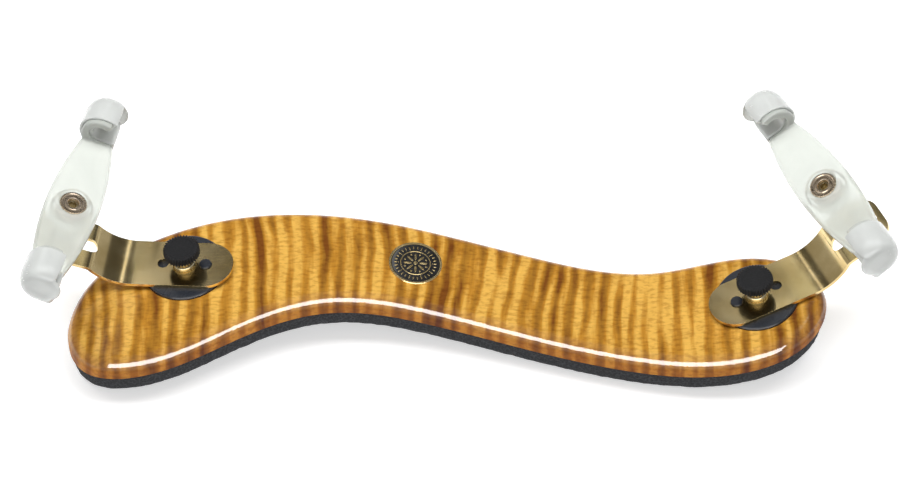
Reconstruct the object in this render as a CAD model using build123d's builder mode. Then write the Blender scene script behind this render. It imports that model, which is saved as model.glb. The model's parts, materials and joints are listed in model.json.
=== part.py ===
"""Violin shoulder rest, in millimetres, +Z up.

A wavy curl-maple board lies on a foam pad. A round base disc turns in each end of the board and carries
a bent brass arm, held by a thumb screw. Each arm holds a height stud, and each stud a clear fork whose
two hooked feet, in soft sleeves, grip the edge of the violin.

The origin is the middle of the footprint of the whole rest, on the surface that the foam stands on.
X runs along the board from the shoulder end to the chest end, and Y runs away from the player's chin.
"""

import os
from math import atan, cos, radians, sin

from build123d import *

os.makedirs("parts", exist_ok=True)

# ---- where the drawing of the board stands in the part's own frame ----
datum = Plane(origin=(-1.77, 9.91, 16.0))

# ---- board: one wave from end to end, given by height and slope at five stations along X ----
board_thickness = 6.0
board_round = 3.8
drawing_room = 60.0
wave_stations = [
    (-110.0, -4.0, 0.20),
    (-75.0, 1.0, 0.075),
    (-11.0, 0.0, -0.10),
    (84.0, 0.0, 0.16),
    (106.0, 4.2, 0.20),
]
far_edge = [
    (-107.0, -27.0),
    (-99.5, -9.0),
    (-80.0, 3.6),
    (-46.0, 10.0),
    (-11.0, 6.3),
    (25.0, -3.0),
    (57.0, -7.8),
    (84.0, -4.6),
    (98.0, -11.0),
    (103.2, -22.5),
]
near_edge = [
    (97.0, -35.0),
    (79.0, -42.4),
    (50.0, -40.3),
    (17.0, -31.8),
    (-11.0, -24.6),
    (-36.0, -23.2),
    (-60.0, -32.6),
    (-85.0, -43.8),
    (-100.5, -41.5),
]

# ---- foam pad ----
foam_thickness = 7.0
foam_inset = 0.8
foam_round = 2.2

# ---- round badge in the middle of the board ----
badge_spot = (-10.8, -8.6)
badge_radius = 7.5
badge_depth = 1.2
badge_proud = 0.4
badge_rim = 0.7
enamel_depth = 0.5
enamel_inner_radius = 4.4
petal_count = 8

# ---- base discs, their bushes and the rings that keep them in the board ----
disc_radius = 11.5
disc_proud = 0.9
disc_depth = 3.4
flange_radius = 13.6
flange_thickness = 1.1
disc_clearance = 0.15
ring_thickness = 1.0
ring_radius = 14.6
ring_inner_radius = 10.5
bush_radius = 3.5
bush_depth = 3.8

# ---- arm: a brass strip that curves up from the disc and bends back to an inclined seat ----
arm_width = 15.6
arm_thickness = 1.0
hole_pitch = 6.0
peg_radius = 1.75
peg_height = 1.7
screw_hole_radius = 2.15
spare_hole_radius = 1.6
arm_flat = 13.7
arm_bend_radius = 13.2
arm_rise = 56.5
seat_bend_radius = 2.0
seat_slope = 20.4
seat_length = 14.6
seat_corner = 5.0
slot_width = 4.2
slot_length = 10.8

# ---- thumb screw and its loose collar ----
thread_radius = 2.0
knob_radius = 5.1
knob_thickness = 2.7
knob_top = 7.9
knob_teeth = 36
knob_tooth = 0.35
knob_rim = 1.1
knob_dish = 0.3
knob_socket = 1.6
neck_radius = 2.75
collar_height = 1.6
collar_radius = 3.3
tip_depth = 3.2

# ---- height stud, its clamp nut and its lock nut ----
stud_head_radius = 3.5
stud_head_thickness = 1.4
clamp_nut_radius = 4.4
clamp_nut_height = 2.8
lock_nut_radius = 4.4
lock_nut_height = 2.2
nut_notch = 0.3
nut_notches = 28
socket_flats = 2.0
socket_depth = 1.5
stud_below_face = 0.8
thread_clearance = 0.05
gap = 0.3

# ---- fork, its insert and the soft sleeves on its feet ----
plate_half_length = 24.0
plate_half_width = 7.6
neck_half_width = 4.6
plate_thickness = 3.0
plate_inset = 0.3
plate_round = 1.2
boss_radius = 5.6
boss_depth = 7.6
insert_radius = 3.75
insert_lip_radius = 2.9
insert_rim = 0.45
collar_wall = 0.9
hook_radius = 4.5
hook_reach = -0.3
tip_radius = 6.0
tip_turn = 20
tongue_thickness = 2.2
tongue_root = -3.8
tongue_length = 9.4
tongue_overlap = 1.0
sleeve_wall = 0.8
sleeve_round = 1.0
end_wall_thickness = 1.4
sleeve_tip_turn = 8


class Side:
    """One end of the rest: where its disc lies, how its arm is swung and how high its fork stands."""

    def __init__(self, name, outward, spot, station, swing, stud_at, fork_height, toe):
        self.name = name
        self.outward = outward
        self.spot = spot
        self.station = station
        self.swing = radians(swing)
        self.stud_at = stud_at
        self.fork_height = fork_height
        self.toe = toe


sides = [
    Side("shoulder", -1, (-75.0, -11.2), wave_stations[1], 6.0, 8.0, 16.3, -6.0),
    Side("chest", 1, (84.0, -21.1), wave_stations[3], 22.0, 6.6, 25.4, 2.5),
]


def save(piece, name):
    """Label a finished piece and write it to its own file."""
    piece.label = name
    export_step(piece, f"parts/{name}.step")


def frame_on(plane, along, up, slope=0.0):
    """A plane moved in the X-Z plane of another one, and tipped up by a slope in degrees."""
    origin = plane.from_local_coords(Vector(along, 0, up))
    tip = radians(slope)
    x_dir = plane.x_dir * cos(tip) + plane.z_dir * sin(tip)
    z_dir = plane.z_dir * cos(tip) - plane.x_dir * sin(tip)
    return Plane(origin=origin, x_dir=x_dir, z_dir=z_dir)


def side_view(plane, shift=0.0):
    """The upright plane through a frame's X and Z axes, moved along its Y axis."""
    return Plane(
        origin=plane.origin + plane.y_dir * shift, x_dir=plane.x_dir, z_dir=-plane.y_dir
    )


def disc_plane(side):
    """The top face of a base disc, X pointing out along the arm."""
    slope = atan(side.station[2])
    normal = Vector(-sin(slope), 0, cos(slope))
    out = Vector(side.outward * cos(side.swing), sin(side.swing), 0)
    out = (out - normal * out.dot(normal)).normalized()
    foot = datum.from_local_coords(Vector(side.spot[0], side.spot[1], side.station[1]))
    return Plane(origin=foot + normal * disc_proud, x_dir=out, z_dir=normal)


def arm_line():
    """The middle line of the arm's strip, in the side view of the disc plane."""
    flat = Line((-hole_pitch - arm_width / 2, 0.5 * arm_thickness), (arm_flat, 0.5 * arm_thickness))
    rise = JernArc(start=flat @ 1, tangent=flat % 1, radius=arm_bend_radius, arc_size=arm_rise)
    bend = JernArc(
        start=rise @ 1,
        tangent=rise % 1,
        radius=seat_bend_radius,
        arc_size=seat_slope - arm_rise,
    )
    seat = Line(bend @ 1, (bend @ 1) + (bend % 1) * seat_length)
    return [flat, rise, bend, seat]


def seat_plane(side):
    """The top face of the arm's seat: origin at its bend line, X pointing out along the seat."""
    with BuildLine(mode=Mode.PRIVATE):
        seat = arm_line()[-1]
    start = seat @ 0
    lifted = frame_on(disc_plane(side), start.X, start.Y, seat_slope)
    return lifted.offset(arm_thickness / 2)


def stud_plane(side):
    """The top face of the seat, with its origin on the axis of the height stud."""
    return frame_on(seat_plane(side), side.stud_at, 0)


def fork_plane(side):
    """The top face of a fork's insert: X pointing out across the fork, Y along it."""
    face = stud_plane(side).offset(side.fork_height)
    turn = radians(side.toe)
    x_dir = face.x_dir * cos(turn) + face.y_dir * sin(turn)
    return Plane(origin=face.origin, x_dir=x_dir, z_dir=face.z_dir)


def inset_outline(inset):
    """The points of the board's outline, each moved in by an inset, square to its two neighbours."""
    points = [Vector(x, y) for x, y in far_edge + near_edge]
    moved = []
    for before, point, after in zip(points[-1:] + points[:-1], points, points[1:] + points[:1]):
        along = (after - before).normalized()
        moved.append(point + along.rotate(Axis.Z, -90) * inset)
    return moved


def waved_slab(top, bottom, inset):
    """A slab between two depths below the wave, cut to the outline of the board less an inset."""
    points = [(x, z) for x, z, slope in wave_stations]
    slopes = [(1, slope) for x, z, slope in wave_stations]
    with BuildPart() as slab:
        with BuildSketch(side_view(datum, -drawing_room)):
            with BuildLine():
                upper = Spline(*[(x, z - top) for x, z in points], tangents=slopes)
                lower = Spline(*[(x, z - bottom) for x, z in points], tangents=slopes)
                Line(upper @ 0, lower @ 0)
                Line(upper @ 1, lower @ 1)
            make_face()
        extrude(amount=-2 * drawing_room)
        with BuildSketch(datum.offset(-drawing_room)):
            with BuildLine():
                Spline(*inset_outline(inset), periodic=True)
            make_face()
        extrude(amount=2 * drawing_room, mode=Mode.INTERSECT)
    return slab


def facing(piece, direction):
    """The one face of a slab whose normal leans most along a direction."""
    return max(piece.faces(), key=lambda face: face.normal_at().dot(direction))


def end_edges(piece, plane, which):
    """The edges of the first (0) or last (-1) face of a piece along a plane's Z axis."""
    return piece.faces().sort_by(Axis(plane.origin, plane.z_dir))[which].edges()


def make_board():
    """The maple board, its upper edge rounded over, bored for both discs and sunk for the badge."""
    slab = waved_slab(0, board_thickness, 0)
    with BuildPart() as board:
        add(slab.part)
        fillet(facing(board, Vector(0, 0, 1)).edges(), radius=board_round)
        for side in sides:
            disc = disc_plane(side)
            with BuildSketch(disc.offset(disc_proud)):
                Circle(disc_radius + disc_clearance)
            extrude(amount=-20, mode=Mode.SUBTRACT)
            with BuildSketch(disc.offset(flange_top() + gap)):
                Circle(ring_radius)
            extrude(amount=-20, mode=Mode.SUBTRACT)
        with BuildSketch(badge_plane().offset(badge_proud)):
            Circle(badge_radius)
        extrude(amount=-badge_depth, mode=Mode.SUBTRACT)
    save(board.part, "board")


def make_foam_pad():
    """The foam pad under the board, its lower edge rounded."""
    slab = waved_slab(board_thickness, board_thickness + foam_thickness, foam_inset)
    with BuildPart() as foam_pad:
        add(slab.part)
        fillet(facing(foam_pad, Vector(0, 0, -1)).edges(), radius=foam_round)
    save(foam_pad.part, "foam_pad")


def badge_plane():
    """The board's surface under the badge."""
    slope = atan(wave_stations[2][2])
    spot = datum.from_local_coords(Vector(badge_spot[0], badge_spot[1], wave_stations[2][1]))
    return Plane(
        origin=spot, x_dir=(cos(slope), 0, sin(slope)), z_dir=(-sin(slope), 0, cos(slope))
    )


def make_badge():
    """The brass badge with a raised rim and a rosette, and the ring of enamel between them."""
    face = badge_plane().offset(badge_proud)
    with BuildPart() as badge_disc:
        with BuildSketch(face):
            Circle(badge_radius)
        extrude(amount=-badge_depth)
        with BuildSketch(face):
            Circle(badge_radius - badge_rim)
            Circle(enamel_inner_radius, mode=Mode.SUBTRACT)
        extrude(amount=-enamel_depth, mode=Mode.SUBTRACT)
        with BuildSketch(face):
            with PolarLocations(enamel_inner_radius * 0.52, petal_count):
                Ellipse(enamel_inner_radius * 0.34, enamel_inner_radius * 0.15)
        extrude(amount=-enamel_depth / 2, mode=Mode.SUBTRACT)
    save(badge_disc.part, "badge_disc")
    with BuildPart() as badge_enamel:
        with BuildSketch(face.offset(-enamel_depth)):
            Circle(badge_radius - badge_rim)
            Circle(enamel_inner_radius, mode=Mode.SUBTRACT)
        extrude(amount=enamel_depth * 0.7)
    save(badge_enamel.part, "badge_enamel")


def flange_top():
    """Height of the top of a disc's flange below the disc's face."""
    return -disc_depth


def make_retaining_ring(side):
    """The ring pressed into the underside of the board, which the disc's flange rests on."""
    top = flange_top() - flange_thickness - gap
    with BuildPart() as retaining_ring:
        with BuildSketch(disc_plane(side).offset(top)):
            Circle(ring_radius)
            Circle(ring_inner_radius, mode=Mode.SUBTRACT)
        extrude(amount=-ring_thickness)
    save(retaining_ring.part, f"{side.name}_retaining_ring")


def make_base_disc(side):
    """The turning disc with its locating peg, a flange below, and a pocket for the threaded bush."""
    face = disc_plane(side)
    with BuildPart() as base_disc:
        with BuildSketch(face):
            Circle(disc_radius)
        extrude(amount=-disc_depth - flange_thickness)
        chamfer(end_edges(base_disc, face, -1), length=0.4)
        with BuildSketch(face.offset(flange_top())):
            Circle(flange_radius)
        extrude(amount=-flange_thickness)
        with BuildSketch(frame_on(face, -hole_pitch, 0)):
            Circle(peg_radius)
        extrude(amount=peg_height)
        chamfer(end_edges(base_disc, face, -1), length=0.3)
        with BuildSketch(face):
            Circle(bush_radius)
        extrude(amount=-20, mode=Mode.SUBTRACT)
    save(base_disc.part, f"{side.name}_base_disc")
    with BuildPart() as disc_bush:
        with BuildSketch(face):
            Circle(bush_radius)
            Circle(thread_radius + thread_clearance, mode=Mode.SUBTRACT)
        extrude(amount=-bush_depth)
    save(disc_bush.part, f"{side.name}_disc_bush")


def make_arm(side):
    """The brass strip: round inner end, three holes, a slotted seat with rounded corners."""
    face = disc_plane(side)
    seat_top = seat_plane(side)
    with BuildPart() as arm:
        with BuildSketch(side_view(face)):
            with BuildLine() as middle:
                for edge in arm_line():
                    add(edge)
            trace(middle.wire(), line_width=arm_thickness)
        extrude(amount=arm_width / 2, both=True)
        upright = arm.edges().filter_by(GeomType.LINE)
        upright = [edge for edge in upright if abs(edge.length - arm_thickness) < 0.01]
        upright = ShapeList(upright).sort_by(Axis(face.origin, face.x_dir))
        fillet(upright[:2], radius=arm_width / 2 - 0.05)
        upright = arm.edges().filter_by(GeomType.LINE)
        upright = [edge for edge in upright if abs(edge.length - arm_thickness) < 0.01]
        upright = ShapeList(upright).sort_by(Axis(face.origin, face.x_dir))
        fillet(upright[-2:], radius=seat_corner)
        hole_sizes = [peg_radius + 0.08, screw_hole_radius, spare_hole_radius]
        for number, size in enumerate(hole_sizes):
            with BuildSketch(frame_on(face, (number - 1) * hole_pitch, -1)):
                Circle(size)
            extrude(amount=arm_thickness + 2, mode=Mode.SUBTRACT)
        with BuildSketch(frame_on(seat_top, slot_length / 2, 1)):
            SlotCenterToCenter(slot_length, slot_width)
        extrude(amount=-arm_thickness - 4, mode=Mode.SUBTRACT)
    save(arm.part, f"{side.name}_arm")


def toothed_circle(radius, tooth, count):
    """A knurled round outline: a circle with evenly spaced notches."""
    Circle(radius)
    with PolarLocations(radius, count):
        Circle(tooth, mode=Mode.SUBTRACT)


def make_thumb_screw(side):
    """The toothed plastic knob, moulded on a brass screw with a neck, and the loose collar under it."""
    face = disc_plane(side)
    with BuildPart() as thumb_knob:
        with BuildSketch(face.offset(knob_top)):
            toothed_circle(knob_radius, knob_tooth, knob_teeth)
        extrude(amount=-knob_thickness)
        with BuildSketch(face.offset(knob_top)):
            Circle(knob_radius - knob_rim)
        extrude(amount=-knob_dish, mode=Mode.SUBTRACT)
        with BuildSketch(face.offset(knob_top - knob_thickness)):
            Circle(neck_radius)
        extrude(amount=knob_socket, mode=Mode.SUBTRACT)
    save(thumb_knob.part, f"{side.name}_thumb_knob")
    with BuildPart() as thumb_screw:
        neck_base = arm_thickness + collar_height + 0.05
        with BuildSketch(face.offset(neck_base)):
            Circle(neck_radius)
        extrude(amount=knob_top - knob_thickness + knob_socket - neck_base)
        with BuildSketch(face.offset(neck_base)):
            Circle(thread_radius)
        extrude(amount=-neck_base - tip_depth)
        chamfer(end_edges(thumb_screw, face, 0), length=0.4)
    save(thumb_screw.part, f"{side.name}_thumb_screw")
    with BuildPart() as screw_collar:
        with BuildSketch(face.offset(arm_thickness)):
            Circle(collar_radius)
            Circle(thread_radius + 0.1, mode=Mode.SUBTRACT)
        extrude(amount=collar_height)
        chamfer(end_edges(screw_collar, face, -1).sort_by(SortBy.LENGTH)[-1], length=0.4)
    save(screw_collar.part, f"{side.name}_screw_collar")


def make_height_stud(side):
    """The stud with a flat head under the seat, its clamp nut on the seat, and the nut under the fork."""
    seat = stud_plane(side)
    face_height = side.fork_height
    with BuildPart() as height_stud:
        with BuildSketch(seat.offset(-arm_thickness)):
            Circle(stud_head_radius)
        extrude(amount=-stud_head_thickness)
        with BuildSketch(seat.offset(-arm_thickness)):
            Circle(thread_radius)
        extrude(amount=arm_thickness + face_height - stud_below_face)
        chamfer(end_edges(height_stud, seat, -1), length=0.35)
        with BuildSketch(seat.offset(face_height - stud_below_face)):
            RegularPolygon(socket_flats / 2, 6, major_radius=False)
        extrude(amount=-socket_depth, mode=Mode.SUBTRACT)
    save(height_stud.part, f"{side.name}_height_stud")
    with BuildPart() as clamp_nut:
        with BuildSketch(seat):
            toothed_circle(clamp_nut_radius, nut_notch, nut_notches)
            Circle(thread_radius + 0.02, mode=Mode.SUBTRACT)
        extrude(amount=clamp_nut_height)
    save(clamp_nut.part, f"{side.name}_clamp_nut")
    with BuildPart() as lock_nut:
        with BuildSketch(seat.offset(face_height - boss_depth - 0.05)):
            toothed_circle(lock_nut_radius, nut_notch, nut_notches)
            Circle(thread_radius + thread_clearance, mode=Mode.SUBTRACT)
        extrude(amount=-lock_nut_height)
    save(lock_nut.part, f"{side.name}_lock_nut")


def hook_outline(thickness, root, turn):
    """The side view of a foot, from its root out, round and back in over the violin's edge."""
    with BuildLine() as middle:
        out = Line((root, -hook_drop()), (hook_reach, -hook_drop()))
        JernArc(start=out @ 1, tangent=out % 1, radius=hook_radius, arc_size=180)
        top = (hook_reach, 2 * hook_radius - hook_drop())
        JernArc(start=top, tangent=(-1, 0), radius=tip_radius, arc_size=turn)
    trace(middle.wire(), line_width=thickness)


def hook_drop():
    """Depth of the middle of the plate below the top face of the insert."""
    return plate_thickness / 2 + plate_inset


def make_fork(side):
    """The clear fork: a boat-shaped plate with a boss, and a hooked tongue at each end."""
    face = fork_plane(side)
    tongue_start = plate_half_length - tongue_overlap
    with BuildPart() as fork:
        with BuildSketch(face.offset(-plate_inset)):
            with BuildLine():
                inner = ThreePointArc(
                    (-neck_half_width, -plate_half_length),
                    (-plate_half_width, 0),
                    (-neck_half_width, plate_half_length),
                )
                outer = ThreePointArc(
                    (neck_half_width, -plate_half_length),
                    (plate_half_width, 0),
                    (neck_half_width, plate_half_length),
                )
                Line(inner @ 0, outer @ 0)
                Line(inner @ 1, outer @ 1)
            make_face()
        extrude(amount=-plate_thickness)
        curved = fork.edges().filter_by(GeomType.CIRCLE)
        fillet(curved, radius=plate_round)
        with BuildSketch(face.offset(-plate_inset)):
            Circle(boss_radius)
        extrude(amount=plate_inset - boss_depth)
        with BuildSketch(face):
            Circle(insert_radius + collar_wall)
        extrude(amount=-plate_inset)
        with BuildSketch(face):
            Circle(insert_radius)
        extrude(amount=-boss_depth - 1, mode=Mode.SUBTRACT)
        for end in (-1, 1):
            with BuildSketch(side_view(face, end * tongue_start)):
                hook_outline(tongue_thickness, tongue_root, tip_turn)
            extrude(amount=-end * (tongue_length + tongue_overlap))
    save(fork.part, f"{side.name}_fork")
    with BuildPart() as fork_insert:
        with BuildSketch(face):
            Circle(insert_radius)
            Circle(thread_radius + thread_clearance, mode=Mode.SUBTRACT)
        extrude(amount=-boss_depth)
        with BuildSketch(face):
            Circle(insert_radius - insert_rim)
            Circle(insert_lip_radius, mode=Mode.SUBTRACT)
        extrude(amount=-0.3, mode=Mode.SUBTRACT)
    save(fork_insert.part, f"{side.name}_fork_insert")


def end_wall():
    """The outline of a sleeve's end wall, which closes the foot's hollow at its far end."""
    reach = hook_radius + tongue_thickness / 2 + sleeve_wall
    middle = hook_radius - hook_drop()
    with Locations((hook_reach, middle)):
        Circle(reach)
    corners = [
        (hook_reach, middle + reach),
        (hook_reach - 2.4, middle + reach - 0.6),
        (tongue_root + 0.4, middle - reach),
        (hook_reach, middle - reach),
    ]
    Polygon(*corners, align=None)


def make_sleeve(side, end, name):
    """The soft sleeve over one tongue, open at the neck and walled at the far end."""
    face = fork_plane(side)
    start = side_view(face, end * (plate_half_length + gap))
    finish = side_view(face, end * (plate_half_length + tongue_length + sleeve_wall))
    with BuildPart() as sleeve:
        with BuildSketch(start):
            hook_outline(
                tongue_thickness + 2 * sleeve_wall,
                tongue_root - sleeve_wall,
                tip_turn + sleeve_tip_turn,
            )
        extrude(amount=-end * (tongue_length - gap + sleeve_wall))
        with BuildSketch(finish):
            end_wall()
        extrude(amount=end * end_wall_thickness)
        with BuildSketch(start):
            hook_outline(tongue_thickness, tongue_root, tip_turn)
        extrude(amount=-end * (tongue_length - gap), mode=Mode.SUBTRACT)
        along = Axis(face.origin, face.y_dir * end)
        fillet(sleeve.faces().sort_by(along)[-1].edges(), radius=sleeve_round)
    save(sleeve.part, f"{side.name}_{name}_sleeve")


make_board()
make_foam_pad()
make_badge()
for end_of_rest in sides:
    make_retaining_ring(end_of_rest)
    make_base_disc(end_of_rest)
    make_arm(end_of_rest)
    make_thumb_screw(end_of_rest)
    make_height_stud(end_of_rest)
    make_fork(end_of_rest)
    make_sleeve(end_of_rest, end_of_rest.outward, "far")
    make_sleeve(end_of_rest, -end_of_rest.outward, "near")
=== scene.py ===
"""The looks of a violin shoulder rest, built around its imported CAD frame.

Every piece rides on a body of the frame. Lengths are in metres, +Z up, X along the board.
"""

import json
from math import atan2, cos, pi, radians, sin, sqrt

import bmesh
import bpy
from mathutils import Matrix, Vector


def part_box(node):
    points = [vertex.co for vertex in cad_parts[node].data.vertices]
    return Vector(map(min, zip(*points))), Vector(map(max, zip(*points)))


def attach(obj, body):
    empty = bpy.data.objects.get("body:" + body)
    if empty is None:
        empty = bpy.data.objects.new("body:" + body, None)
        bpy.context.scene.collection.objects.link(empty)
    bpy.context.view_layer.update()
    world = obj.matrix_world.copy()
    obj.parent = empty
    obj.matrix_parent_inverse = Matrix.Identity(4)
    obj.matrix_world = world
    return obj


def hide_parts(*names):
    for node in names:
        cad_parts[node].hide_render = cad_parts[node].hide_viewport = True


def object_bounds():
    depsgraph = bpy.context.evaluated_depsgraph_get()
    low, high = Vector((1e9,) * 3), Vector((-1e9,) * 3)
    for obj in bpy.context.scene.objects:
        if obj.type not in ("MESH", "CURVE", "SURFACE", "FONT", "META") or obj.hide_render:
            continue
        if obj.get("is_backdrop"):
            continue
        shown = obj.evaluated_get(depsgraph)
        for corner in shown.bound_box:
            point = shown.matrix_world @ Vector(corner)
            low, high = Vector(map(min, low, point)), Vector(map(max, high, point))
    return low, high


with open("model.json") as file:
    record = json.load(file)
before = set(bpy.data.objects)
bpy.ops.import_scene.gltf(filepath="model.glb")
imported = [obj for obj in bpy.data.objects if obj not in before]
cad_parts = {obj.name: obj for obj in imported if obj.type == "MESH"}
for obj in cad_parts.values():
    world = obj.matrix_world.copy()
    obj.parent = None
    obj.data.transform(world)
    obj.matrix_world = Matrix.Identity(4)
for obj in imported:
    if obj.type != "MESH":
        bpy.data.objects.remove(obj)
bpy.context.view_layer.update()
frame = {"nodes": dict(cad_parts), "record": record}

bl_info = {
    "name": "Violin Shoulder Rest",
    "version": (1, 0, 0),
    "blender": (4, 5, 0),
    "location": "View3D > Sidebar > Shoulder Rest",
    "description": "Builds the wood, foam, brass and clear plastic of a violin shoulder rest",
    "category": "Add Mesh",
}

MM = 0.001

# ---- sizes of the finished details, in mm in the local frame of each piece ----

FOOT_BEND = 29.4
FOOT_END = 34.25
FOOT_ROUND = 0.42
FOOT_MIDDLE = (0.9, 0, 2.7)

KNOB_TEETH = 36
KNOB_TOOTH = 0.6
KNOB_CORE = 4.0
KNOB_RIM = ((0, 5.2), (4.6, 5.2), (4.85, 5.28), (5.05, 5.5), (5.09, 5.8), (5.09, 7.4), (5.04, 7.62))
KNOB_TOP = ((4.9, 7.8), (4.6, 7.88), (4.1, 7.9), (3.6, 7.84), (3.3, 7.74), (1.5, 7.72), (0, 7.72))

INSERT_TEETH = 36
INSERT_TOOTH = 0.16
INSERT_CORE = 3.6
INSERT_TEETH_FROM = -0.2
INSERT_WALL = ((1.62, -7.6), (3.7, -7.6), (3.74, -7.5), (3.74, -0.35), (3.74, -0.12), (3.66, 0.0))
INSERT_LIP = ((3.3, 0.0), (3.2, -0.06), (3.12, -0.28), (2.35, -0.3))
INSERT_BORE = ((2.28, -0.1), (2.1, 0.0), (1.75, 0.0), (1.62, -0.12))

BADGE_RIM = ((0, -0.8), (7.5, -0.8), (7.5, 0.22), (7.38, 0.36), (7.2, 0.4), (6.95, 0.36), (6.85, 0.1))
BADGE_RING = ((4.35, 0.1), (4.3, 0.3), (4.18, 0.36), (4.06, 0.3), (4.0, 0.1), (0, 0.1))
BADGE_FIELD = ((0, 0.06), (6.8, 0.06), (6.8, 0.2), (6.6, 0.22), (4.6, 0.22), (0, 0.22))
BADGE_PROUD = 0.4
BEAD_COUNT = 30
BEAD_SEAT = 0.21
PETAL_COUNT = 8

RIB_COUNT = 9
RIB_FIRST = 25.6
RIB_PITCH = 0.85
RIB_RADIUS = 0.3
RIB_LENGTH = 2.6
RIB_LEAN = -28
RIB_ACROSS = -3.1
RIB_UP = 6.5

# ---- mesh sizes, in metres, and angles, in degrees ----

FORK_VOXEL = 0.0003
SLEEVE_VOXEL = 0.00022
FOAM_GRAIN = 0.0022
FOAM_GRAIN_DEPTH = 0.00035
ROUNDED_FROM = 30
SHARP_FROM = 50

# ---- places in the studio, in metres ----

AIM = (-0.00177, 0.00991, 0.016)
CARD_SIZE, CARD_PLACE = (1.5, 0.8), (0, 0.56, 0.66)
OVERHEAD_SIZE, OVERHEAD_PLACE = (0.9, 0.22), (0, 0.09, 0.62)
FRONT_SIZE, FRONT_PLACE = (0.9, 0.34), (0, -0.52, 0.27)
BEHIND_SIZE, BEHIND_BACK, BEHIND_UP = (0.07, 0.4), 0.50, 0.60
BEHIND_LEFT, BEHIND_RIGHT = -0.298, 0.012
FRONT_SHARE_OFF_BOARD = 0.15

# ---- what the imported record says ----

SIDES = ("shoulder", "chest")
RECORD = frame["record"]
JOINTS = {joint["name"]: joint for joint in RECORD["behaviour"]["joints"]}
MOUNTS = {mount["name"]: mount for mount in RECORD["mounts"]}
BODY_OF = {node: body for body, nodes in RECORD["behaviour"]["bodies"].items() for node in nodes}
SLOT_OF = {part["node"]: part["material_slot"] for part in RECORD["subparts"]}


# ---- sizes and colours that a user would change ----


def colour(label, words, value):
    """A colour property, linear RGB."""
    return bpy.props.FloatVectorProperty(
        name=label, description=words, default=value, size=3, subtype="COLOR", min=0, max=1
    )


def length(label, words, value):
    """A length property, in metres."""
    return bpy.props.FloatProperty(name=label, description=words, default=value, unit="LENGTH")


def factor(label, words, value):
    """A share from 0 to 1."""
    return bpy.props.FloatProperty(
        name=label, description=words, default=value, min=0, max=1, subtype="FACTOR"
    )


class BoardSettings(bpy.types.PropertyGroup):
    gold: colour("Gold", "Bright bands of the curl", (0.74, 0.42, 0.080))
    amber: colour("Amber", "Ground colour of the lacquered maple", (0.48, 0.215, 0.022))
    brown: colour("Brown", "Dark bands of the curl", (0.185, 0.058, 0.006))
    rim: colour("Rim", "Bare wood along the lower edge", (0.62, 0.36, 0.16))
    curl_pitch: length("Curl pitch", "Distance from one band of the curl to the next", 0.0044)
    gloss: factor("Gloss", "Weight of the clear lacquer", 1.0)


class FoamSettings(bpy.types.PropertyGroup):
    tint: colour("Tint", "Colour of the foam", (0.030, 0.031, 0.034))
    cell: length("Cell", "Size of one open cell", 0.0006)
    voxel: length("Voxel", "Mesh size of the pad", 0.0009)


class MetalSettings(bpy.types.PropertyGroup):
    strip: colour("Strip", "Polished brass strip", (0.82, 0.65, 0.34))
    turned: colour("Turned", "Turned brass of screws and nuts", (0.60, 0.51, 0.33))
    insert: colour("Insert", "Rosy brass of the fork's insert", (0.70, 0.58, 0.45))
    edge: length("Edge", "Rounding of the metal edges", 0.00012)


class PlasticSettings(bpy.types.PropertyGroup):
    clear: colour("Clear", "Milky clear plastic of the forks", (0.84, 0.87, 0.82))
    sleeve: colour("Sleeve", "Soft clear sleeves on the feet", (0.87, 0.89, 0.87))
    black: colour("Black", "Moulded black knobs", (0.014, 0.014, 0.015))
    disc: colour("Disc", "Smooth black base discs", (0.020, 0.023, 0.030))


class StudioSettings(bpy.types.PropertyGroup):
    distance: length("Distance", "From the camera to the middle of the board", 0.85)
    elevation: bpy.props.FloatProperty(
        name="Elevation", description="Height of the camera", default=radians(49.6), unit="ROTATION"
    )
    lens: bpy.props.FloatProperty(name="Lens", description="Focal length in mm", default=119.6)
    floor: colour("Floor", "Pale floor that the rest stands on", (0.75, 0.75, 0.75))
    glow: bpy.props.FloatProperty(name="Glow", description="Floor's own light", default=0.55)
    sky: bpy.props.FloatProperty(name="Sky", description="Light from all round", default=0.40)
    overhead: bpy.props.FloatProperty(name="Overhead", description="Softbox above", default=4.8, unit="POWER")
    behind: bpy.props.FloatProperty(name="Behind", description="Softboxes behind", default=0.13, unit="POWER")
    front: bpy.props.FloatProperty(name="Front", description="Softbox in front", default=18.0, unit="POWER")


SETTINGS = {
    "rest_board": BoardSettings,
    "rest_foam": FoamSettings,
    "rest_metal": MetalSettings,
    "rest_plastic": PlasticSettings,
    "rest_studio": StudioSettings,
}


# ---- shader helpers ----


def add_node(tree, kind, **values):
    """A shader node with its properties and the values of its inputs set by name."""
    node = tree.nodes.new(kind)
    for name, value in values.items():
        if hasattr(node, name):
            setattr(node, name, value)
        else:
            node.inputs[name.replace("_", " ")].default_value = value
    return node


def join(tree, out_node, out_name, in_node, in_name):
    """Link two sockets, each given by its name or its number."""
    tree.links.new(out_node.outputs[out_name], in_node.inputs[in_name])


def maths(tree, operation, first, second=None):
    """A Math node on two inputs, each a (node, socket) pair or a number."""
    node = add_node(tree, "ShaderNodeMath", operation=operation)
    for number, value in enumerate((first, second)):
        if isinstance(value, tuple):
            join(tree, value[0], value[1], node, number)
        elif value is not None:
            node.inputs[number].default_value = value
    return (node, 0)


def ramp(tree, source, stops):
    """A colour ramp through (position, colour) stops."""
    node = add_node(tree, "ShaderNodeValToRGB")
    elements = node.color_ramp.elements
    while len(elements) < len(stops):
        elements.new(1.0)
    for element, (position, shade) in zip(elements, stops):
        element.position = position
        element.color = (*shade, 1.0) if len(shade) == 3 else shade
    join(tree, source[0], source[1], node, 0)
    return (node, 0)


def grey(value):
    """A grey as a colour."""
    return (value, value, value)


def scaled(shade, share):
    """A colour made darker or lighter."""
    return tuple(c * share for c in shade)


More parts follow.
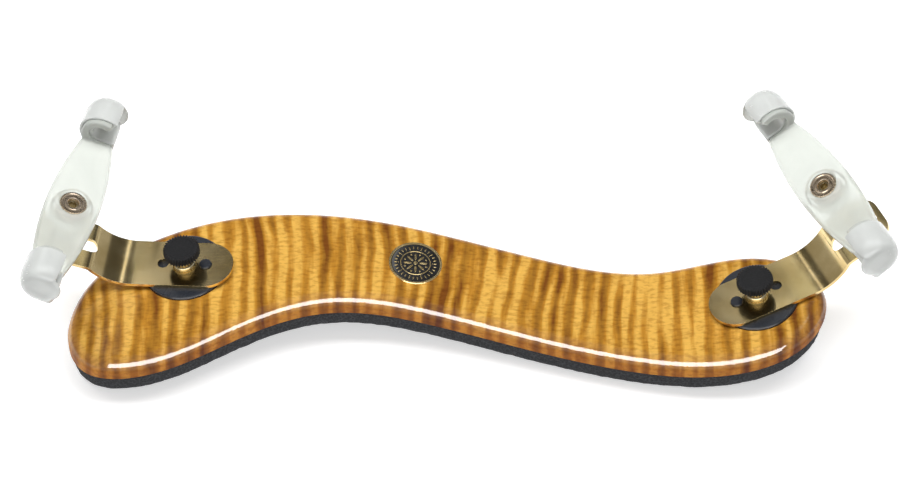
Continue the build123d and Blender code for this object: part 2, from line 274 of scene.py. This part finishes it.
def blend_colour(tree, mode, share, first, second):
    """A Mix node on two colours; share may be a number or a (node, socket) pair."""
    node = add_node(tree, "ShaderNodeMix", data_type="RGBA", blend_type=mode)
    for number, value in ((0, share), (6, first), (7, second)):
        if isinstance(value[0] if isinstance(value, tuple) else None, bpy.types.Node):
            join(tree, value[0], value[1], node, number)
        elif number == 0:
            node.inputs[0].default_value = value
        else:
            node.inputs[number].default_value = (*value, 1.0)
    return (node, 2)


def stretched(tree, scale, turn=0.0):
    """Object coordinates through a Mapping node, so that a pattern can be stretched along an axis."""
    place = add_node(tree, "ShaderNodeTexCoord")
    mapping = add_node(tree, "ShaderNodeMapping", Scale=scale, Rotation=(0, 0, turn))
    join(tree, place, "Object", mapping, "Vector")
    return (mapping, 0)


def noise_of(tree, vector, scale, detail=2.0, rough=0.5, twist=0.0):
    """A noise texture's value on a vector."""
    node = add_node(
        tree, "ShaderNodeTexNoise", Scale=scale, Detail=detail, Roughness=rough, Distortion=twist
    )
    join(tree, vector[0], vector[1], node, "Vector")
    return (node, 0)


def finish(name):
    """A new material: its tree and its Principled BSDF."""
    material = bpy.data.materials.new(name)
    material.use_nodes = True
    return material, material.node_tree, material.node_tree.nodes["Principled BSDF"]


def set_values(shader, **values):
    """Plain values on a shader's own sockets."""
    for name, value in values.items():
        socket = shader.inputs[name.replace("_", " ")]
        socket.default_value = (*value, 1.0) if hasattr(value, "__len__") else value


def bump_into(tree, shader, height, strength, distance):
    """A Bump node from a height into a shader's normal."""
    bump = add_node(tree, "ShaderNodeBump", Strength=strength, Distance=distance)
    join(tree, height[0], height[1], bump, "Height")
    join(tree, bump, 0, shader, "Normal")


def group_sockets(tree, inputs, outputs):
    """Named inputs and outputs of a node group."""
    for name, value in inputs:
        socket = tree.interface.new_socket(name, in_out="INPUT", socket_type="NodeSocketFloat")
        socket.default_value = value
    for name in outputs:
        tree.interface.new_socket(name, in_out="OUTPUT", socket_type="NodeSocketFloat")
    return tree.nodes.new("NodeGroupInput"), tree.nodes.new("NodeGroupOutput")


def handling_group():
    """Fine scratches and smudges that every handled surface has."""
    if "handling" in bpy.data.node_groups:
        return bpy.data.node_groups["handling"]
    tree = bpy.data.node_groups.new("handling", "ShaderNodeTree")
    source, result = group_sockets(
        tree, [("Scratches", 0.5), ("Smudges", 0.5), ("Roughness", 0.2)], ["Roughness", "Height"]
    )
    fine = None
    for turn, along in ((0.5, 55.0), (-0.9, 70.0), (1.7, 60.0)):
        vector = stretched(tree, (along, 2600.0, 900.0), turn)
        hair = noise_of(tree, vector, 1.0, detail=1.0)
        lines = ramp(tree, hair, [(0.66, grey(0.0)), (0.74, grey(1.0))])
        fine = lines if fine is None else maths(tree, "MAXIMUM", fine, lines)
    smudge = noise_of(tree, stretched(tree, (1.0, 1.0, 1.0)), 160.0, detail=3.0)
    scratched = maths(tree, "MULTIPLY", fine, (source, "Scratches"))
    smudged = maths(tree, "MULTIPLY", smudge, (source, "Smudges"))
    worn = maths(tree, "MULTIPLY", maths(tree, "ADD", scratched, smudged), 0.25)
    total = maths(tree, "ADD", (source, "Roughness"), worn)
    join(tree, total[0], total[1], result, "Roughness")
    height = maths(tree, "MULTIPLY", scratched, -1.0)
    join(tree, height[0], height[1], result, "Height")
    return tree


def handled(tree, shader, scratches, smudges, roughness, strength=0.0):
    """Put the handling group on a shader's roughness, and on its normal where it has a strength."""
    node = add_node(tree, "ShaderNodeGroup", node_tree=handling_group())
    for name, value in (("Scratches", scratches), ("Smudges", smudges), ("Roughness", roughness)):
        node.inputs[name].default_value = value
    join(tree, node, "Roughness", shader, "Roughness")
    if strength > 0:
        bump_into(tree, shader, (node, "Height"), strength, 0.00002)


# ---- materials ----


def made_once(name, maker):
    """The material of this name, made the first time it is asked for."""
    return bpy.data.materials.get(name) or maker(name)


def maple_finish(name):
    """Curly maple under amber lacquer: bands across the board, grain along it, and sides painted darker and
    redder as shade.
    """
    values = bpy.context.scene.rest_board
    material, tree, shader = finish(name)
    bands = 1.0 / values.curl_pitch
    warp = noise_of(tree, stretched(tree, (14.0, 22.0, 14.0)), 1.0, detail=2.0)
    place = add_node(tree, "ShaderNodeTexCoord")
    shift = add_node(tree, "ShaderNodeCombineXYZ")
    sway = maths(tree, "MULTIPLY", maths(tree, "SUBTRACT", warp, 0.5), 0.010)
    join(tree, sway[0], sway[1], shift, "X")
    moved = add_node(tree, "ShaderNodeVectorMath", operation="ADD")
    join(tree, place, "Object", moved, 0)
    join(tree, shift, 0, moved, 1)
    leaning = add_node(
        tree, "ShaderNodeMapping", Scale=(bands, bands * 0.13, bands * 0.13), Rotation=(0, 0, 0.16)
    )
    join(tree, moved, 0, leaning, "Vector")
    wide = noise_of(tree, (leaning, 0), 0.86, detail=3.0, rough=0.5, twist=0.3)
    narrow = noise_of(tree, (leaning, 0), 2.1, detail=3.0, rough=0.55, twist=0.4)
    even = add_node(
        tree, "ShaderNodeTexWave", Scale=2 * pi / 20, Distortion=9.0, Detail=2.0, Detail_Scale=0.35
    )
    join(tree, leaning, 0, even, "Vector")
    mixed = maths(tree, "ADD", maths(tree, "MULTIPLY", wide, 0.62), maths(tree, "MULTIPLY", narrow, 0.22))
    mixed = maths(tree, "ADD", mixed, maths(tree, "MULTIPLY", (even, "Fac"), 0.16))
    cloudy = noise_of(tree, stretched(tree, (40.0, 40.0, 40.0)), 1.0, detail=3.0)
    mixed = maths(tree, "ADD", mixed, maths(tree, "MULTIPLY", maths(tree, "SUBTRACT", cloudy, 0.5), 0.30))
    gold, amber, brown = tuple(values.gold), tuple(values.amber), tuple(values.brown)
    curl = ramp(
        tree, mixed, [(0.34, brown), (0.43, scaled(amber, 0.72)), (0.50, amber), (0.61, gold)]
    )
    grain = noise_of(tree, stretched(tree, (90.0, 1500.0, 900.0)), 1.0, detail=3.0)
    fleck = ramp(tree, grain, [(0.30, grey(0.80)), (0.55, grey(1.0)), (0.8, grey(1.08))])
    wood = blend_colour(tree, "MULTIPLY", 0.45, curl, fleck)
    pores = noise_of(tree, stretched(tree, (500.0, 1100.0, 900.0)), 1.0, detail=2.0)
    mottle = ramp(tree, pores, [(0.34, (0.62, 0.52, 0.40)), (0.52, grey(1.0)), (0.75, grey(1.1))])
    wood = blend_colour(tree, "MULTIPLY", 0.6, wood, mottle)
    normal = add_node(tree, "ShaderNodeNewGeometry")
    upright = add_node(tree, "ShaderNodeSeparateXYZ")
    join(tree, normal, "Normal", upright, 0)
    # Painted shade: faces turned away from upright are multiplied darker and redder.
    side = ramp(tree, (upright, "Z"), [(0.1, grey(1.0)), (0.8, grey(0.3)), (0.98, grey(0.0))])
    shaded_side_wood = blend_colour(tree, "MULTIPLY", side, wood, (0.74, 0.52, 0.30))
    under = ramp(tree, maths(tree, "MULTIPLY", (upright, "Z"), -1.0), [(0.25, grey(0.0)), (0.45, grey(1.0))])
    bare = blend_colour(tree, "MIX", under, shaded_side_wood, tuple(values.rim))
    join(tree, bare[0], bare[1], shader, "Base Color")
    set_values(shader, Roughness=0.5, Specular_IOR_Level=0.06, Coat_Roughness=0.03, Coat_IOR=1.5)
    lacquer = ramp(tree, (upright, "Z"), [(0.2, grey(0.12)), (0.5, grey(values.gloss))])
    join(tree, lacquer[0], lacquer[1], shader, "Coat Weight")
    bump_into(tree, shader, grain, 0.04, 0.0001)
    return material


def foam_finish(name):
    """Black closed-cell foam: a skin of tiny open cells, painted darker in their pits and lighter on the
    ridges as shade and light, with random speckle.
    """
    values = bpy.context.scene.rest_foam
    material, tree, shader = finish(name)
    vector = stretched(tree, (1.0, 1.0, 1.0))
    cells = add_node(tree, "ShaderNodeTexVoronoi", Scale=1.0 / values.cell, feature="F1")
    join(tree, vector[0], vector[1], cells, "Vector")
    speck = noise_of(tree, vector, 1400.0, detail=3.0, rough=0.6)
    pit_depth_and_shade = maths(tree, "MULTIPLY", (cells, "Distance"), 0.7)
    pit_depth_and_shade = maths(tree, "ADD", pit_depth_and_shade, maths(tree, "MULTIPLY", speck, 0.6))
    tint = tuple(values.tint)
    # The cells' depth, also used for the bump, sets the colour: painted shade in the pits, painted light on
    # the ridges, plus random speckle.
    tone = ramp(tree, pit_depth_and_shade, [(0.35, scaled(tint, 0.65)), (0.62, tint), (0.9, scaled(tint, 1.7))])
    join(tree, tone[0], tone[1], shader, "Base Color")
    set_values(shader, Roughness=0.92, Specular_IOR_Level=0.25)
    bump_into(tree, shader, pit_depth_and_shade, 0.45, 0.0003)
    return material


def brass_finish(name, tint, roughness, scratches, strength=0.05):
    """Bare brass, smudged and finely scratched."""
    material, tree, shader = finish(name)
    patina = noise_of(tree, stretched(tree, (120.0, 120.0, 120.0)), 1.0, detail=4.0)
    dull = tuple(c * f for c, f in zip(tint, (0.80, 0.76, 0.66)))
    shade = ramp(tree, patina, [(0.35, dull), (0.62, tint)])
    join(tree, shade[0], shade[1], shader, "Base Color")
    set_values(shader, Metallic=1.0)
    handled(tree, shader, scratches, 0.35, roughness, strength)
    return material


def plastic_finish(name, tint, roughness, sheen_coat, bump):
    """Opaque moulded plastic with a faint orange-peel skin."""
    material, tree, shader = finish(name)
    skin = noise_of(tree, stretched(tree, (1.0, 1.0, 1.0)), 2200.0, detail=2.0)
    tone = ramp(tree, skin, [(0.3, scaled(tint, 0.8)), (0.7, scaled(tint, 1.25))])
    join(tree, tone[0], tone[1], shader, "Base Color")
    handled(tree, shader, 0.25, 0.5, roughness)
    bump_into(tree, shader, skin, bump, 0.00005)
    set_values(shader, Coat_Weight=sheen_coat, Coat_Roughness=0.2, Specular_IOR_Level=0.35)
    return material


def clear_finish(name, tint, roughness, cloud, transmission):
    """Milky clear plastic: light passes through, softened by flow marks in the moulding."""
    material, tree, shader = finish(name)
    flow = noise_of(tree, stretched(tree, (90.0, 50.0, 90.0)), 1.0, detail=4.0, rough=0.6, twist=1.2)
    tone = ramp(tree, flow, [(0.3, scaled(tint, cloud)), (0.65, tint)])
    join(tree, tone[0], tone[1], shader, "Base Color")
    set_values(shader, Transmission_Weight=transmission, IOR=1.49, Coat_Weight=0.35, Coat_Roughness=0.06)
    handled(tree, shader, 0.04, 0.4, roughness, 0.01)
    return material


def enamel_finish(name):
    """Glossy black enamel with a faint mottle."""
    material, tree, shader = finish(name)
    mottle = noise_of(tree, stretched(tree, (1.0, 1.0, 1.0)), 900.0, detail=3.0)
    tone = ramp(tree, mottle, [(0.3, grey(0.006)), (0.7, grey(0.022))])
    join(tree, tone[0], tone[1], shader, "Base Color")
    handled(tree, shader, 0.4, 0.5, 0.12, 0.05)
    set_values(shader, Coat_Weight=0.8, Coat_Roughness=0.05)
    return material


def finish_of(slot):
    """The material of one of the record's slots."""
    metal = bpy.context.scene.rest_metal
    plastic = bpy.context.scene.rest_plastic
    strip, turned, insert = tuple(metal.strip), tuple(metal.turned), tuple(metal.insert)
    makers = {
        "maple": maple_finish,
        "foam": foam_finish,
        "arm_brass": lambda name: brass_finish(name, strip, 0.13, 0.25, 0.02),
        "badge_brass": lambda name: brass_finish(name, strip, 0.16, 0.5),
        "screw_brass": lambda name: brass_finish(name, turned, 0.20, 0.4),
        "nut_brass": lambda name: brass_finish(name, turned, 0.22, 0.4),
        "stud_brass": lambda name: brass_finish(name, turned, 0.22, 0.4),
        "insert_brass": lambda name: brass_finish(name, insert, 0.18, 0.4),
        "black_enamel": enamel_finish,
        "black_plastic": lambda name: plastic_finish(name, tuple(plastic.black), 0.5, 0.0, 0.2),
        "knob_plastic": lambda name: plastic_finish(name, tuple(plastic.black), 0.55, 0.0, 0.5),
        "disc_plastic": lambda name: plastic_finish(name, tuple(plastic.disc), 0.22, 0.5, 0.08),
        "clear_plastic": lambda name: clear_finish(name, tuple(plastic.clear), 0.14, 0.94, 0.50),
        "clear_sleeve": lambda name: clear_finish(name, tuple(plastic.sleeve), 0.20, 0.94, 0.42),
    }
    return made_once(f"{slot}_finish", makers[slot])


# ---- piece helpers ----


def place_of(origin, x_dir, z_dir):
    """The matrix of a local frame, from its origin and its X and Z directions."""
    z_axis = Vector(z_dir).normalized()
    x_axis = Vector(x_dir)
    x_axis = (x_axis - z_axis * x_axis.dot(z_axis)).normalized()
    y_axis = z_axis.cross(x_axis)
    turned = Matrix((x_axis, y_axis, z_axis)).transposed().to_4x4()
    return Matrix.Translation(Vector(origin)) @ turned


def fork_place(side):
    """The top face of a fork's insert: X out across the fork, Y along it, Z up its stud."""
    turn = JOINTS[f"{side}_fork_turn"]
    inward = Vector(MOUNTS[f"{side}_far_jaw"]["axis"])
    return place_of(turn["pos_m"], -inward, turn["axis"])


def disc_place(side):
    """The top face of a base disc, X pointing out along the arm."""
    swing = JOINTS[f"{side}_arm_swing"]
    return place_of(swing["pos_m"], JOINTS[f"{side}_leg_slide"]["axis"], swing["axis"])


def add_object(name, mesh):
    """A new object in the scene's collection."""
    piece = bpy.data.objects.new(name, mesh)
    bpy.context.scene.collection.objects.link(piece)
    return piece


def piece_from(name, bm, place, nodes, slot, smooth=True):
    """A finished piece from a bmesh in a local frame: it rides on its nodes' body and replaces them."""
    bmesh.ops.recalc_face_normals(bm, faces=bm.faces)
    mesh = bpy.data.meshes.new(name)
    bm.to_mesh(mesh)
    bm.free()
    mesh.transform(place)
    if smooth:
        mesh.shade_smooth()
    piece = add_object(name, mesh)
    piece.data.materials.append(finish_of(slot))
    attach(piece, BODY_OF[nodes[0]])
    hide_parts(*nodes)
    return piece


def apply_modifiers(piece):
    """Apply every modifier of a piece to its mesh."""
    graph = bpy.context.evaluated_depsgraph_get()
    mesh = bpy.data.meshes.new_from_object(piece.evaluated_get(graph))
    old = piece.data
    piece.modifiers.clear()
    piece.data = mesh
    bpy.data.meshes.remove(old)


def add_modifier(piece, kind, **values):
    """A modifier with its settings."""
    modifier = piece.modifiers.new(kind.title(), kind)
    for name, value in values.items():
        setattr(modifier, name, value)
    return modifier


def merged_copy(node):
    """A bmesh of a CAD node with its loose triangles joined and its flat faces dissolved."""
    bm = bmesh.new()
    bm.from_mesh(frame["nodes"][node].data)
    bmesh.ops.remove_doubles(bm, verts=bm.verts, dist=1e-6)
    bmesh.ops.dissolve_limit(bm, angle_limit=radians(0.2), verts=bm.verts, edges=bm.edges)
    return bm


def edged_copy(node, edge):
    """A CAD node's own shape with its sharp edges slightly rounded, so that they catch the light."""
    name = f"{node}_finished"
    bm = merged_copy(node)
    piece = piece_from(name, bm, Matrix.Identity(4), [node], SLOT_OF[node])
    limit = radians(ROUNDED_FROM)
    add_modifier(piece, "BEVEL", width=edge, segments=2, limit_method="ANGLE", angle_limit=limit)
    piece.data.set_sharp_from_angle(angle=radians(SHARP_FROM))
    add_modifier(piece, "WEIGHTED_NORMAL", keep_sharp=True)
    return piece


def turned(profile, segments):
    """A solid turned about Z from (radius, height) points in mm; off the axis, its ends are joined."""
    bm = bmesh.new()
    verts = [bm.verts.new((radius * MM, 0, height * MM)) for radius, height in profile]
    edges = [bm.edges.new(pair) for pair in zip(verts, verts[1:])]
    if profile[0][0] > 0:
        edges.append(bm.edges.new((verts[-1], verts[0])))
    bmesh.ops.spin(
        bm, geom=verts + edges, cent=(0, 0, 0), axis=(0, 0, 1), angle=2 * pi, steps=segments, use_merge=True
    )
    bmesh.ops.remove_doubles(bm, verts=bm.verts, dist=1e-7)
    return bm


def toothed(bm, teeth, depth, inner, low=0.0):
    """Cut teeth into a turned rim, above a height and outside a radius, by moving its vertices in."""
    for vert in bm.verts:
        radius = vert.co.xy.length
        if radius > inner * MM and vert.co.z >= low * MM:
            share = 0.5 - 0.5 * cos(teeth * atan2(vert.co.y, vert.co.x))
            scale = 1 - depth * MM * share ** 0.7 / radius
            vert.co.xy = vert.co.xy * scale
    return bm


def round_feet(piece, place):
    """Draw the feet in towards the middle of their hooks near their far ends, so that they end in a dome."""
    inverse = place.inverted()
    middle = Vector(FOOT_MIDDLE) * MM
    for vert in piece.data.vertices:
        local = inverse @ vert.co
        share = min(max((abs(local.y) / MM - FOOT_BEND) / (FOOT_END - FOOT_BEND), 0.0), 1.0)
        if share > 0:
            keep = 1 - FOOT_ROUND * (1 - sqrt(1 - share * share))
            local.x = middle.x + (local.x - middle.x) * keep
            local.z = middle.z + (local.z - middle.z) * keep
            vert.co = place @ local


# ---- operators ----


class RestOperator:
    """What the shoulder rest's operators share."""

    bl_options = {"REGISTER", "UNDO"}


class REST_OT_board(RestOperator, bpy.types.Operator):
    """Lacquered maple board"""

    bl_idname = "shoulder_rest.board"
    bl_label = "Board"

    def execute(self, context):
        board = frame["nodes"]["board"]
        board.data.materials.clear()
        board.data.materials.append(finish_of("maple"))
        return {"FINISHED"}


class REST_OT_foam_pad(RestOperator, bpy.types.Operator):
    """Foam pad under the board"""

    bl_idname = "shoulder_rest.foam_pad"
    bl_label = "Foam Pad"

    def execute(self, context):
        values = context.scene.rest_foam
        bm = merged_copy("foam_pad")
        piece = piece_from("foam_pad_cells", bm, Matrix.Identity(4), ["foam_pad"], "foam")
        add_modifier(piece, "REMESH", mode="VOXEL", voxel_size=values.voxel, use_smooth_shade=True)
        add_modifier(piece, "SMOOTH", factor=0.5, iterations=2)
        grain = bpy.data.textures.new("foam_grain", "CLOUDS")
        grain.noise_scale = FOAM_GRAIN
        grain.noise_depth = 2
        displace = add_modifier(piece, "DISPLACE", texture=grain, texture_coords="LOCAL")
        displace.strength = FOAM_GRAIN_DEPTH
        displace.mid_level = 0.6
        apply_modifiers(piece)
        return {"FINISHED"}


class REST_OT_badge(RestOperator, bpy.types.Operator):
    """Brass badge with black enamel between plain rings, and a rosette in the middle"""

    bl_idname = "shoulder_rest.badge"
    bl_label = "Badge"

    def execute(self, context):
        place = self.top_of_badge()
        bm = turned(BADGE_RIM + BADGE_RING, 128)
        self.ornament(bm)
        piece_from("badge_relief", bm, place, ["badge_disc"], "badge_brass")
        bm = turned(BADGE_FIELD, 128)
        piece_from("badge_field", bm, place, ["badge_enamel"], "black_enamel")
        return {"FINISHED"}

    def top_of_badge(self):
        """The frame of the badge's seat on the board, from the flat faces of its disc."""
        mesh = frame["nodes"]["badge_disc"].data
        up = Vector((0, 0, 0))
        for face in mesh.polygons:
            if face.normal.z > 0.97:
                up += face.normal * face.area
        up.normalize()
        low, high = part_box("badge_disc")
        heights = [vert.co.dot(up) for vert in mesh.vertices]
        middle = (low + high) / 2
        middle += up * (max(heights) - BADGE_PROUD * MM - middle.dot(up))
        return place_of(middle, (1, 0, 0), up)

    def ornament(self, bm):
        """Beads in the outer band, and a rosette of slim petals in the middle."""
        for number in range(BEAD_COUNT):
            angle = 2 * pi * number / BEAD_COUNT
            self.bead(bm, 5.55, angle, (0.5, 0.2, 0.16))
            if number % 3 == 0:
                self.bead(bm, 4.85, angle, (0.14, 0.14, 0.14))
        for number in range(PETAL_COUNT):
            angle = 2 * pi * number / PETAL_COUNT
            self.bead(bm, 2.2, angle, (1.25, 0.34, 0.17))
            self.bead(bm, 3.2, angle + pi / PETAL_COUNT, (0.3, 0.3, 0.16))
        self.bead(bm, 0.0, 0.0, (0.62, 0.62, 0.18))

    def bead(self, bm, radius, angle, size):
        """A small raised drop, long way outwards."""
        spot = Matrix.Rotation(angle, 4, "Z") @ Matrix.Translation((radius * MM, 0, BEAD_SEAT * MM))
        shape = Matrix.Diagonal((*size, 1.0)) @ Matrix.Scale(MM, 4)
        bmesh.ops.create_icosphere(bm, subdivisions=2, radius=1.0, matrix=spot @ shape)


class REST_OT_base_discs(RestOperator, bpy.types.Operator):
    """Black swivelling discs with their bushes and retaining rings"""

    bl_idname = "shoulder_rest.base_discs"
    bl_label = "Base Discs"

    def execute(self, context):
        for side in SIDES:
            edged_copy(f"{side}_base_disc", 0.00025)
            edged_copy(f"{side}_disc_bush", 0.0001)
            edged_copy(f"{side}_retaining_ring", 0.0001)
        return {"FINISHED"}


class REST_OT_arms(RestOperator, bpy.types.Operator):
    """Bent brass strips with rounded edges"""

    bl_idname = "shoulder_rest.arms"
    bl_label = "Arms"

    def execute(self, context):
        for side in SIDES:
            edged_copy(f"{side}_arm", context.scene.rest_metal.edge)
        return {"FINISHED"}


class REST_OT_thumb_screws(RestOperator, bpy.types.Operator):
    """Brass screws, each with a collar and a toothed black knob"""

    bl_idname = "shoulder_rest.thumb_screws"
    bl_label = "Thumb Screws"

    def execute(self, context):
        for side in SIDES:
            bm = toothed(turned(KNOB_RIM + KNOB_TOP, 8 * KNOB_TEETH), KNOB_TEETH, KNOB_TOOTH, KNOB_CORE)
            nodes = [f"{side}_thumb_knob"]
            piece_from(f"{side}_knob", bm, disc_place(side), nodes, "knob_plastic", smooth=False)
            edged_copy(f"{side}_thumb_screw", 0.00015)
            edged_copy(f"{side}_screw_collar", 0.0002)
        return {"FINISHED"}


class REST_OT_height_studs(RestOperator, bpy.types.Operator):
    """Threaded studs with their clamp nuts and lock nuts"""

    bl_idname = "shoulder_rest.height_studs"
    bl_label = "Height Studs"

    def execute(self, context):
        for side in SIDES:
            for part in ("height_stud", "clamp_nut", "lock_nut"):
                edged_copy(f"{side}_{part}", 0.00012)
        return {"FINISHED"}


class REST_OT_forks(RestOperator, bpy.types.Operator):
    """Clear forks with soft moulded edges, and the brass inserts in them"""

    bl_idname = "shoulder_rest.forks"
    bl_label = "Forks"

    def execute(self, context):
        for side in SIDES:
            node = f"{side}_fork"
            bm = merged_copy(node)
            fork = piece_from(f"{node}_moulding", bm, Matrix.Identity(4), [node], "clear_plastic")
            add_modifier(fork, "REMESH", mode="VOXEL", voxel_size=FORK_VOXEL, use_smooth_shade=True)
            add_modifier(fork, "SMOOTH", factor=0.5, iterations=6)
            apply_modifiers(fork)
            round_feet(fork, fork_place(side))
            bm = turned(INSERT_WALL + INSERT_LIP + INSERT_BORE, 6 * INSERT_TEETH)
            toothed(bm, INSERT_TEETH, INSERT_TOOTH, INSERT_CORE, low=INSERT_TEETH_FROM)
            piece_from(f"{side}_insert", bm, fork_place(side), [f"{side}_fork_insert"], "insert_brass")
        return {"FINISHED"}


class REST_OT_sleeves(RestOperator, bpy.types.Operator):
    """Soft clear sleeves on the feet, with grip ribs at the tip"""

    bl_idname = "shoulder_rest.sleeves"
    bl_label = "Sleeves"

    def execute(self, context):
        for side, outward in zip(SIDES, (-1, 1)):
            for name, end in (("far", outward), ("near", -outward)):
                node = f"{side}_{name}_sleeve"
                bm = merged_copy(node)
                self.add_ribs(bm, fork_place(side), end)
                piece = piece_from(f"{node}_moulding", bm, Matrix.Identity(4), [node], "clear_sleeve")
                add_modifier(piece, "REMESH", mode="VOXEL", voxel_size=SLEEVE_VOXEL, use_smooth_shade=True)
                add_modifier(piece, "SMOOTH", factor=0.5, iterations=4)
                apply_modifiers(piece)
                round_feet(piece, fork_place(side))
        return {"FINISHED"}

    def add_ribs(self, bm, place, end):
        """Short ridges across the tip's end face."""
        lean = Matrix.Rotation(radians(RIB_LEAN), 4, "Y")
        for number in range(RIB_COUNT):
            along = end * (RIB_FIRST + RIB_PITCH * number) * MM
            spot = Matrix.Translation((RIB_ACROSS * MM, along, RIB_UP * MM))
            bmesh.ops.create_cone(
                bm,
                cap_ends=True,
                segments=10,
                radius1=RIB_RADIUS * MM,
                radius2=RIB_RADIUS * MM,
                depth=RIB_LENGTH * MM,
                matrix=place @ spot @ lean,
            )


def area_light(name, size, place, aim, power):
    """A rectangular softbox that faces a point."""
    lamp = bpy.data.lights.new(name, "AREA")
    lamp.shape = "RECTANGLE"
    lamp.size, lamp.size_y = size
    lamp.energy = power
    lit = add_object(name, lamp)
    lit.location = place
    lit.rotation_euler = (Vector(aim) - Vector(place)).to_track_quat("-Z", "Y").to_euler()
    lit.visible_camera = False
    return lit


def flat_sheet(name, size, place, aim, material):
    """A flat stage card that faces a point."""
    bm = bmesh.new()
    bmesh.ops.create_grid(bm, x_segments=1, y_segments=1, size=0.5)
    bmesh.ops.scale(bm, verts=bm.verts, vec=(*size, 1))
    mesh = bpy.data.meshes.new(name)
    bm.to_mesh(mesh)
    bm.free()
    facing = (Vector(aim) - Vector(place)).to_track_quat("Z", "Y").to_matrix().to_4x4()
    mesh.transform(Matrix.Translation(place) @ facing)
    mesh.materials.append(material)
    card = add_object(name, mesh)
    card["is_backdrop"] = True
    return card


class REST_OT_studio(RestOperator, bpy.types.Operator):
    """Camera, pale floor, softboxes and a dark card behind"""

    bl_idname = "shoulder_rest.studio"
    bl_label = "Studio"

    def execute(self, context):
        values = context.scene.rest_studio
        floor_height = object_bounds()[0][2]
        aim = Vector(AIM)
        camera = bpy.data.cameras.new("view")
        camera.lens = values.lens
        camera.sensor_width = 36.0
        stand = add_object("view", camera)
        back = Vector((0, -cos(values.elevation), sin(values.elevation)))
        stand.location = aim + back * values.distance
        stand.rotation_euler = (pi / 2 - values.elevation, 0, 0)
        context.scene.camera = stand
        material, tree, shader = finish("floor")
        set_values(shader, Base_Color=tuple(values.floor), Roughness=0.9, Specular_IOR_Level=0.1)
        set_values(shader, Emission_Color=grey(1.0), Emission_Strength=values.glow)
        flat_sheet("floor", (12, 12), (0, 0, floor_height), (0, 0, 1), material)
        dark, tree, shader = finish("dark_card")
        set_values(shader, Base_Color=grey(0.10), Roughness=0.9, Specular_IOR_Level=0.0)
        card = flat_sheet("dark_card", CARD_SIZE, CARD_PLACE, aim, dark)
        card.visible_camera = False
        below = (*OVERHEAD_PLACE[:2], 0)
        overhead = area_light("overhead", OVERHEAD_SIZE, OVERHEAD_PLACE, below, values.overhead)
        overhead.visible_glossy = False
        groups = {}
        shares = (("board_only", "INCLUDE", 1.0), ("not_board", "EXCLUDE", FRONT_SHARE_OFF_BOARD))
        for name, state, share in shares:
            group = bpy.data.collections.new(name)
            group.objects.link(frame["nodes"]["board"])
            group.collection_objects[0].light_linking.link_state = state
            groups[name] = group
            power = values.front * share
            lamp = area_light(f"front_{name}", FRONT_SIZE, FRONT_PLACE, aim, power)
            lamp.visible_diffuse = False
            lamp.light_linking.receiver_collection = group
        for name, across in (("behind_left", BEHIND_LEFT), ("behind_right", BEHIND_RIGHT)):
            place = (across, BEHIND_BACK, BEHIND_UP)
            lamp = area_light(name, BEHIND_SIZE, place, (across, 0, 0), values.behind)
            lamp.light_linking.receiver_collection = groups["not_board"]
        world = bpy.data.worlds.new("studio")
        world.use_nodes = True
        world.node_tree.nodes["Background"].inputs["Color"].default_value = (1, 1, 1, 1)
        world.node_tree.nodes["Background"].inputs["Strength"].default_value = values.sky
        context.scene.world = world
        context.scene.view_settings.view_transform = "Standard"
        return {"FINISHED"}


class REST_PT_panel(bpy.types.Panel):
    """Lists the operators and the values of the shoulder rest"""

    bl_idname = "REST_PT_panel"
    bl_label = "Shoulder Rest"
    bl_space_type = "VIEW_3D"
    bl_region_type = "UI"
    bl_category = "Shoulder Rest"

    def draw(self, context):
        layout = self.layout
        for operator in OPERATORS:
            layout.operator(operator.bl_idname)
        for name in SETTINGS:
            group = getattr(context.scene, name)
            box = layout.box()
            for key in group.__annotations__:
                box.prop(group, key)


OPERATORS = (
    REST_OT_studio,
    REST_OT_board,
    REST_OT_foam_pad,
    REST_OT_badge,
    REST_OT_base_discs,
    REST_OT_arms,
    REST_OT_thumb_screws,
    REST_OT_height_studs,
    REST_OT_forks,
    REST_OT_sleeves,
)


def register():
    for group in SETTINGS.values():
        bpy.utils.register_class(group)
    for name, group in SETTINGS.items():
        setattr(bpy.types.Scene, name, bpy.props.PointerProperty(type=group))
    for kind in (*OPERATORS, REST_PT_panel):
        bpy.utils.register_class(kind)


def unregister():
    for kind in (REST_PT_panel, *reversed(OPERATORS)):
        bpy.utils.unregister_class(kind)
    for name, group in SETTINGS.items():
        delattr(bpy.types.Scene, name)
        bpy.utils.unregister_class(group)


def main():
    """Register everything and run each operator in order."""
    register()
    for operator in OPERATORS:
        family, name = operator.bl_idname.split(".")
        getattr(getattr(bpy.ops, family), name)()


if __name__ == "__main__":
    main()
